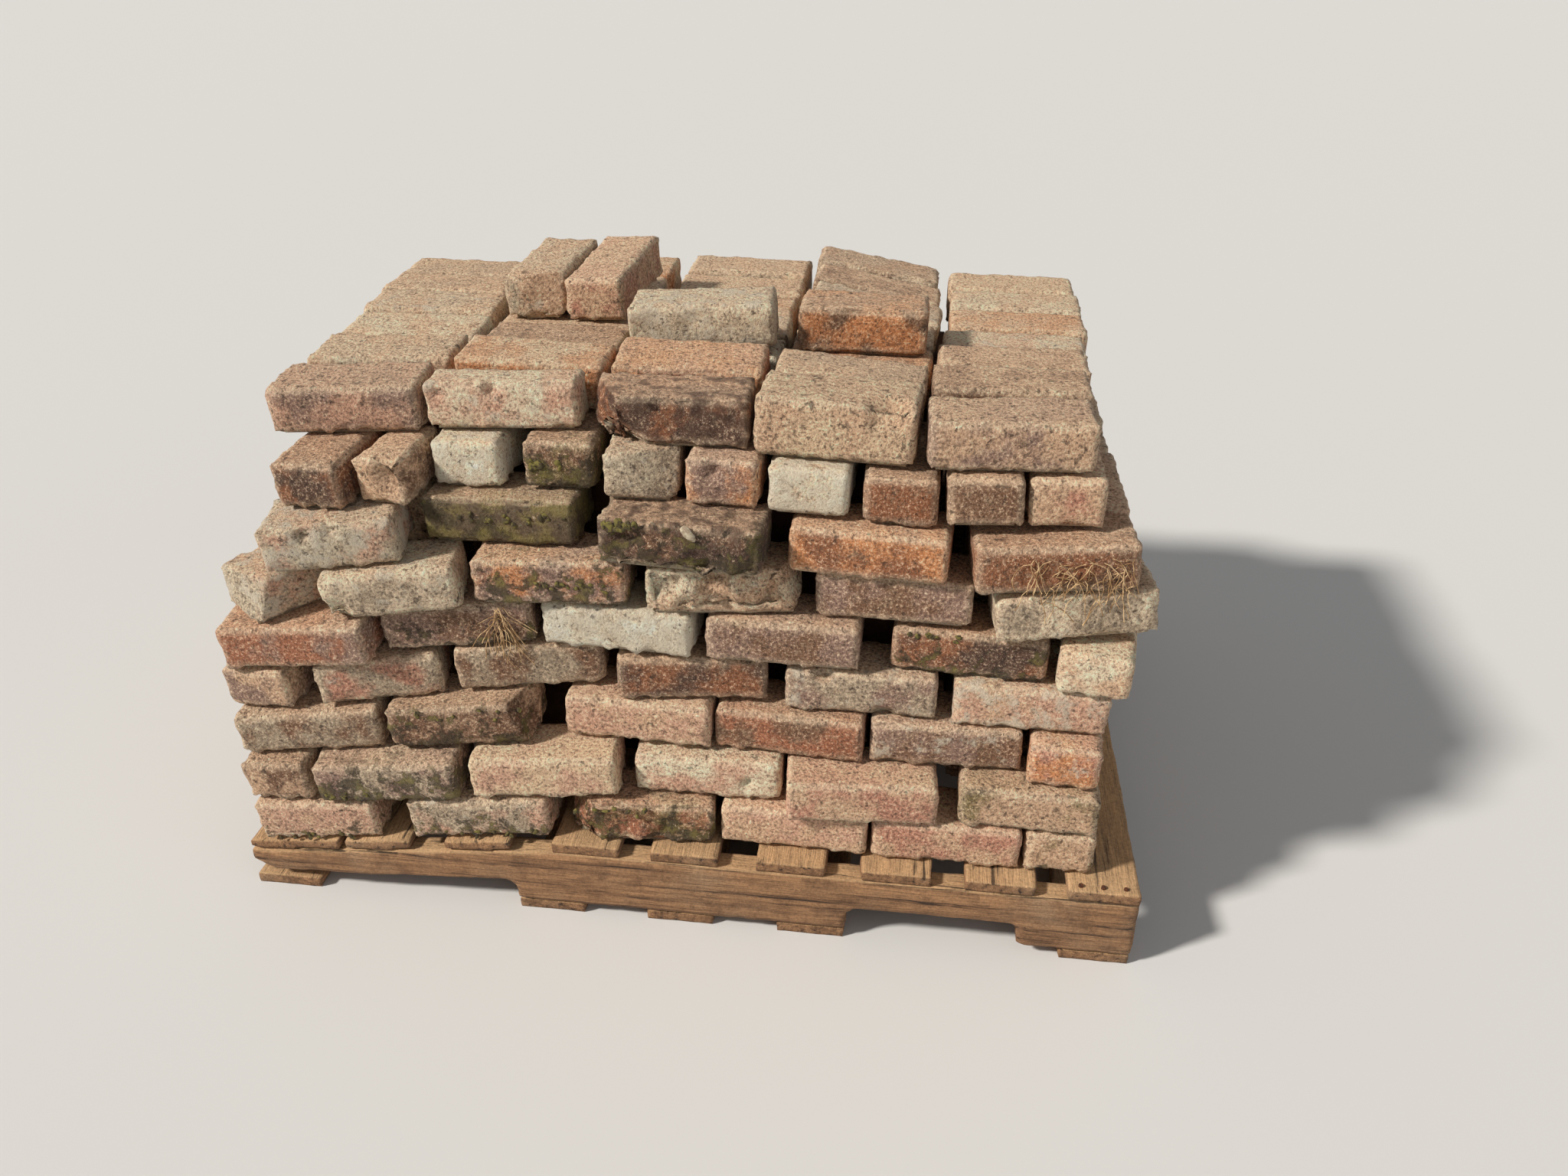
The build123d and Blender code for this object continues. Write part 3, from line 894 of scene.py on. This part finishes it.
def weigh(piece, name, weights):
    """A vertex group from an array of weights, in a few steps."""
    group = piece.vertex_groups.new(name=name)
    steps = np.rint(np.clip(weights, 0, 1) * WEIGHT_STEPS).astype(int)
    for step in range(1, WEIGHT_STEPS + 1):
        chosen = np.flatnonzero(steps == step).tolist()
        if chosen:
            group.add(chosen, step / WEIGHT_STEPS, "REPLACE")


def write_colour(mesh, name, values):
    layer = mesh.attributes.new(name, "FLOAT_COLOR", "POINT")
    layer.data.foreach_set("color", values.astype(np.float32).ravel())


def modified(piece, name, kind, **settings):
    """Apply one modifier to a piece."""
    select_only(piece)
    modifier = piece.modifiers.new(name, kind)
    for setting, value in settings.items():
        setattr(modifier, setting, value)
    bpy.ops.object.modifier_apply(modifier=modifier.name)


def worn_brick(piece, clay, grid, hollows=()):
    """One brick: its solid remeshed on a grid, with its tints and wear on the points."""
    tint, blotch, lime, moss, soot, coarse, spall = clay
    axes, half = brick_axes(piece.data)
    piece.data.transform(axes.inverted())
    scale = min(max(half) * 2 / (grid * 2**GRID_DEPTH), GRID_LARGEST)
    modified(piece, "Grid", "REMESH", mode="SHARP", octree_depth=GRID_DEPTH, scale=scale)
    mesh = piece.data
    own = points(mesh)
    low = np.array((-half.x, -half.y, -half.z + MORTAR_BED))
    high = np.array(half)
    nearest = np.minimum(own - low, high - own)
    second = np.sort(nearest, axis=1)[:, 1]
    arris = np.clip(1 - second / ARRIS_REACH, 0, 1)
    bed = np.clip((low[2] - own[:, 2]) / (MORTAR_BED / 2), 0, 1)
    spot = (own - (low + high) / 2) / ((high - low) / 2)
    front = np.clip((-spot[:, 1] - SPALL_START) / SPALL_FADE, 0, 1)

    count = len(own)
    layer = mesh.attributes.new("spot", "FLOAT_VECTOR", "POINT")
    layer.data.foreach_set("vector", spot.astype(np.float32).ravel())
    one = np.ones(count)
    plain = {"tint": TINTS[tint], "blotch": TINTS[blotch], "weather": (lime, moss, soot)}
    for name, colour in plain.items():
        write_colour(mesh, name, np.tile((*colour, 1.0), (count, 1)))
    write_colour(mesh, "wear", np.column_stack((one * coarse, arris, bed, one)))
    weigh(piece, "arris", arris * (1 - bed))
    weigh(piece, "coarse", (LEAST_COARSE + (1 - LEAST_COARSE) * coarse) * (1 - bed))
    weigh(piece, "spall", front * spall)
    sunk = np.zeros(count)
    for *middle, radius, depth in hollows:
        away = np.linalg.norm(own - np.array(middle) * np.array(half), axis=1)
        sunk = np.maximum(sunk, np.clip(HOLLOW_RIM - away / radius, 0, 1) * depth / DEEPEST)
    weigh(piece, "sunk", sunk)
    mesh.transform(axes)
    return axes, half


def lump(name, size, detail, contrast=1.0, intensity=1.0):
    """Cloudy noise for a relief."""
    texture = bpy.data.textures.new(name, "CLOUDS")
    texture.noise_scale = size
    texture.noise_depth = detail
    texture.contrast = contrast
    texture.intensity = intensity
    return texture


def relief(piece, texture, strength, middle, group=""):
    """Push a piece's points in and out along their normals."""
    modified(
        piece,
        texture.name,
        "DISPLACE",
        texture=texture,
        texture_coords="LOCAL",
        strength=strength,
        mid_level=middle,
        vertex_group=group,
    )


def dressed(piece, finish):
    """Shade a piece smooth and give it one finish."""
    select_only(piece)
    bpy.ops.object.shade_smooth()
    piece.data.materials.clear()
    piece.data.materials.append(bpy.data.materials[finish])


def finish_bricks(bricks, name, sizes):
    """Join bricks into one piece and wear them."""
    piece = joined(bricks, name)
    strengths = {
        "arris": sizes.arris_wear,
        "spall": sizes.spall_depth,
        "sunk": -DEEPEST,
        "coarse": sizes.face_relief,
    }
    for noise, size, detail, contrast, intensity, middle, group in BRICK_WEAR:
        texture = lump(noise, size, detail, contrast, intensity)
        relief(piece, texture, strengths[group], middle, group)
    dressed(piece, "worn_clay")
    return piece


def settle(piece, slot, *nodes):
    """Hand a finished piece over to the root body and hide the frame nodes that it replaces; slot
    is not used.
    """
    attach(piece, "root")
    if nodes:
        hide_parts(*nodes)


def front_first(bricks):
    return sorted(bricks, key=lambda brick: points(brick.data)[:, 1].min())


def middle_x(brick):
    xs = points(brick.data)[:, 0]
    return (xs.min() + xs.max()) / 2


def lowest(brick):
    return points(brick.data)[:, 2].min()


def clods(name, spots, size, finish, seed):
    """Small rough lumps at places on the bricks, joined into one piece."""
    dice = random.Random(seed)
    made = []
    for spot in spots:
        bpy.ops.mesh.primitive_ico_sphere_add(subdivisions=2, radius=1)
        clod = bpy.context.active_object
        turn = Matrix.Rotation(dice.uniform(0, math.tau), 4, "Y")
        scale = [size * dice.uniform(low, high) for low, high in CLOD_SHAPE]
        clod.data.transform(Matrix.Translation(spot) @ turn @ Matrix.Diagonal((*scale, 1)))
        made.append(clod)
    piece = joined(made, name)
    crumbs = lump("crumbs", size * CLOD_NOISE, CLOD_DETAIL)
    relief(piece, crumbs, size * CLOD_RELIEF, CLOD_MIDDLE)
    dressed(piece, finish)
    settle(piece, "old_brick")


def strands(name, starts, reach, seed):
    """Dried rootlets that hang from places on a brick, drawn as thin tubes."""
    dice = random.Random(seed)
    curve = bpy.data.curves.new(name, "CURVE")
    curve.dimensions = "3D"
    curve.bevel_depth = ROOT_RADIUS
    curve.bevel_resolution = 0
    for start in starts:
        steps = dice.randint(*ROOT_STEPS)
        strand = curve.splines.new("POLY")
        strand.points.add(steps)
        place = Vector(start) - Vector((0, ROOTS_CLEAR, 0))
        way = Vector([dice.uniform(low, high) for low, high in ROOT_START])
        for point in strand.points:
            point.co = (*place, 1)
            bend = [dice.uniform(low, high) for low, high in ROOT_BEND]
            way += Vector((*bend, ROOT_FALL))
            place += way.normalized() * reach / steps
    piece = bpy.data.objects.new(name, curve)
    bpy.context.collection.objects.link(piece)
    select_only(piece)
    bpy.ops.object.convert(target="MESH")
    piece = bpy.context.view_layer.objects.active
    piece.data.materials.append(bpy.data.materials["dry_root"])
    settle(piece, "weathered_wood")


def grow(course, place, axes, half):
    """What has grown on or sticks to one brick of the front."""
    for kind, left, right, up, count, size in GROWTHS.get((course, place), []):
        dice = random.Random(course * COURSE_SEED + place + count)
        stray = ROOTS_STRAY if kind == "rootlets" else CLOD_STRAY
        spots = []
        for _ in range(count):
            x = half.x * dice.uniform(left, right)
            z = half.z * (up - abs(dice.gauss(0, stray)))
            spots.append(axes @ Vector((x, -half.y, z)))
        name = f"{kind}_{course}_{place}"
        if kind == "rootlets":
            strands(name, spots, size, count)
        else:
            clods(name, spots, size, kind, count)


def lay_floor(context):
    """A pale floor under the pallet."""
    bpy.ops.mesh.primitive_plane_add(size=FLOOR_SIZE, location=(0, 0, 0))
    floor = context.active_object
    floor.name = "floor"
    finish = Finish("floor")
    links = {"Base Color": FLOOR_COLOUR, "Roughness": FLOOR_ROUGHNESS}
    finish.end_with(finish.node("ShaderNodeBsdfPrincipled", {}, links))
    floor.data.materials.append(finish.material)


def hang_lamps(context):
    """The lamps, each turned to the pallet."""
    for name, (place, width, strength, colour) in LAMPS.items():
        lamp = bpy.data.lights.new(name, "SUN")
        lamp.angle = math.radians(width)
        lamp.energy = strength
        lamp.color = colour
        holder = bpy.data.objects.new(name, lamp)
        holder.location = place
        holder.rotation_euler = (-Vector(place)).to_track_quat("-Z", "Y").to_euler()
        context.collection.objects.link(holder)


def paint_sky(context):
    """A sky that looks bright but lights the object softly."""
    sky = Sky("studio")
    camera, glossy, through = (
        sky.node("ShaderNodeLightPath", output=f"Is {ray} Ray")
        for ray in ("Camera", "Glossy", "Transmission")
    )
    seen = (camera + glossy + through).above(0.0, 1.0)
    links = {"Color": SKY_COLOUR, "Strength": SKY_LIGHT + seen * (SKY_SEEN - SKY_LIGHT)}
    sky.end_with(sky.node("ShaderNodeBackground", {}, links), "ShaderNodeOutputWorld")
    context.scene.world = sky.world


def place_camera(context):
    """A camera where the photograph was taken from."""
    yaw = math.radians(CAMERA_YAW)
    pitch = math.radians(CAMERA_PITCH)
    roll = math.radians(CAMERA_ROLL)
    ahead = Vector(
        (-math.sin(yaw) * math.cos(pitch), math.cos(yaw) * math.cos(pitch), -math.sin(pitch))
    )
    side = Vector((math.cos(yaw), math.sin(yaw), 0))
    top = side.cross(ahead)
    right = side * math.cos(roll) + top * math.sin(roll)
    up = top * math.cos(roll) - side * math.sin(roll)
    lens = bpy.data.cameras.new("photograph")
    lens.lens = CAMERA_LENS
    lens.sensor_width = SENSOR_WIDTH
    camera = bpy.data.objects.new("photograph", lens)
    turn = Matrix((right, up, -ahead)).transposed()
    camera.matrix_world = Matrix.Translation(CAMERA_PLACE) @ turn.to_4x4()
    context.collection.objects.link(camera)
    context.scene.camera = camera


class FinishesOperator(bpy.types.Operator):
    """Mix the finishes of bricks, wood and iron"""

    bl_idname = "pallet.finishes"
    bl_label = "Mix the finishes"

    def execute(self, context):
        bricks = context.scene.brick_sizes
        wood = context.scene.wood_sizes
        brick_finish(bricks)
        core_shade_finish()
        wood_finish("wood_along", wood, across=False)
        wood_finish("wood_across", wood, across=True)
        plain_finish("rusted_iron", *IRON, scale=700, roughness=0.75, metallic=0.4)
        plain_finish("moss", tuple(bricks.dead_moss), tuple(bricks.moss), scale=160)
        plain_finish("crumb", TINTS["grey"], tuple(bricks.mortar), scale=200)
        plain_finish("dry_root", *ROOT, scale=90)
        return {"FINISHED"}


class CourseOperator(bpy.types.Operator):
    """Wear the bricks of one course"""

    bl_idname = "pallet.course"
    bl_label = "Wear a course of bricks"

    course: IntProperty(
        name="Course",
        description="From the bottom",
        default=1,
        min=1,
        max=COURSES,
    )

    def execute(self, context):
        sizes = context.scene.brick_sizes
        number = self.course
        node = f"brick_course_{number}"
        parts = front_first(loose_parts(merged_copy(node, f"course_{number}")))
        front_clays = FRONT_CLAYS[number - 1]
        count = len(front_clays)
        front = sorted(parts[:count], key=middle_x)
        rest = parts[count:]
        top = number == COURSES
        grid = sizes.fine_grid if top else sizes.coarse_grid
        for place, (brick, clay) in enumerate(zip(front, front_clays), start=1):
            hollows = HOLLOWS.get((number, place), ())
            axes, half = worn_brick(brick, clay, sizes.fine_grid, hollows)
            grow(number, place, axes, half)
        columns = [middle_x(brick) for brick in front]
        rows = [0] * len(columns)
        if top:
            lying_on_top = sorted(rest, key=lowest)[-len(UPPER_CLAYS) :]
            rest = [brick for brick in rest if brick not in lying_on_top]
            for brick, clay in zip(sorted(lying_on_top, key=middle_x), UPPER_CLAYS):
                worn_brick(brick, clay, grid)
        for place, brick in enumerate(rest):
            if top:
                column = min(range(count), key=lambda i: abs(columns[i] - middle_x(brick)))
                clays = TOP_CLAYS[column]
                clay = clays[rows[column] % len(clays)]
                rows[column] += 1
            else:
                turn = place * NEXT_BRICK + number * NEXT_COURSE
                clay = HIDDEN_CLAYS[turn % len(HIDDEN_CLAYS)]
            worn_brick(brick, clay, grid)
        piece = finish_bricks(parts, f"worn_course_{number}", sizes)
        settle(piece, "old_brick", node)
        return {"FINISHED"}


class LooseOperator(bpy.types.Operator):
    """Wear the two loose bricks on top"""

    bl_idname = "pallet.loose"
    bl_label = "Wear the loose bricks"

    def execute(self, context):
        sizes = context.scene.brick_sizes
        for node, clay in LOOSE_CLAYS.items():
            brick = merged_copy(node, node + "_worn")
            worn_brick(brick, clay, sizes.fine_grid)
            settle(finish_bricks([brick], node + "_worn", sizes), "old_brick", node)
        return {"FINISHED"}


class CoreOperator(bpy.types.Operator):
    """Darken the hidden core with painted shade"""

    bl_idname = "pallet.core"
    bl_label = "Darken the core"

    def execute(self, context):
        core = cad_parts["brick_core"]
        # The core is painted dark as the shade seen through the joints.
        core.data.materials.clear()
        core.data.materials.append(bpy.data.materials["dark_core"])
        return {"FINISHED"}


class BoardsOperator(bpy.types.Operator):
    """Weather the stringers, the deck boards and the bottom boards"""

    bl_idname = "pallet.boards"
    bl_label = "Weather the boards"

    def execute(self, context):
        sizes = context.scene.wood_sizes
        for node in sorted(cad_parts):
            if "board" not in node and "stringer" not in node:
                continue
            piece = merged_copy(node, node + "_worn")
            modified(piece, "Grid", "REMESH", mode="VOXEL", voxel_size=sizes.grid)
            relief(piece, lump("saw", *SAW_MARKS), sizes.roughness, SAW_MIDDLE)
            dressed(piece, "wood_along" if "stringer" in node else "wood_across")
            settle(piece, "weathered_wood", node)
        return {"FINISHED"}


class NailsOperator(bpy.types.Operator):
    """Drive nail heads into the ends of the deck boards"""

    bl_idname = "pallet.nails"
    bl_label = "Drive the nails"

    def execute(self, context):
        radius = context.scene.wood_sizes.nail_head / 2
        heads = []
        for number in range(1, DECK_BOARDS + 1):
            low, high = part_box(f"deck_board_{number}")
            ends = [high[1] - NAIL_IN]
            if number == DECK_BOARDS:
                ends.append(low[1] + NAIL_IN)
            for across in NAIL_ACROSS:
                x = low[0] + across * (high[0] - low[0])
                for y in ends:
                    bpy.ops.mesh.primitive_cylinder_add(
                        vertices=NAIL_SIDES, radius=radius, depth=NAIL_TALL * 2
                    )
                    head = context.active_object
                    head.data.transform(Matrix.Translation((x, y, high[2])))
                    heads.append(head)
        piece = joined(heads, "nails")
        piece.data.materials.append(bpy.data.materials["rusted_iron"])
        settle(piece, "nail")
        return {"FINISHED"}


class StageOperator(bpy.types.Operator):
    """Set the floor, the lamps and the photograph's camera"""

    bl_idname = "pallet.stage"
    bl_label = "Set the stage"

    def execute(self, context):
        lay_floor(context)
        hang_lamps(context)
        paint_sky(context)
        place_camera(context)
        context.scene.view_settings.view_transform = "Standard"
        return {"FINISHED"}


class PalletPanel(bpy.types.Panel):
    """The pallet's pieces in the sidebar"""

    bl_idname = "VIEW3D_PT_pallet"
    bl_label = "Pallet of Old Bricks"
    bl_space_type = "VIEW_3D"
    bl_region_type = "UI"
    bl_category = "Pallet"

    def draw(self, context):
        for group in (context.scene.brick_sizes, context.scene.wood_sizes):
            for name in group.__annotations__:
                self.layout.prop(group, name)
        for operator in OPERATORS:
            self.layout.operator(operator.bl_idname)


OPERATORS = (
    FinishesOperator,
    CourseOperator,
    LooseOperator,
    CoreOperator,
    BoardsOperator,
    NailsOperator,
    StageOperator,
)
CLASSES = (BrickSizes, WoodSizes, *OPERATORS, PalletPanel)


def register():
    for item in CLASSES:
        bpy.utils.register_class(item)
    bpy.types.Scene.brick_sizes = PointerProperty(type=BrickSizes)
    bpy.types.Scene.wood_sizes = PointerProperty(type=WoodSizes)


def unregister():
    del bpy.types.Scene.wood_sizes
    del bpy.types.Scene.brick_sizes
    for item in reversed(CLASSES):
        bpy.utils.unregister_class(item)


def main():
    register()
    bpy.ops.pallet.finishes()
    for course in range(1, COURSES + 1):
        bpy.ops.pallet.course(course=course)
    bpy.ops.pallet.loose()
    bpy.ops.pallet.core()
    bpy.ops.pallet.boards()
    bpy.ops.pallet.nails()
    bpy.ops.pallet.stage()


if __name__ == "__main__":
    main()
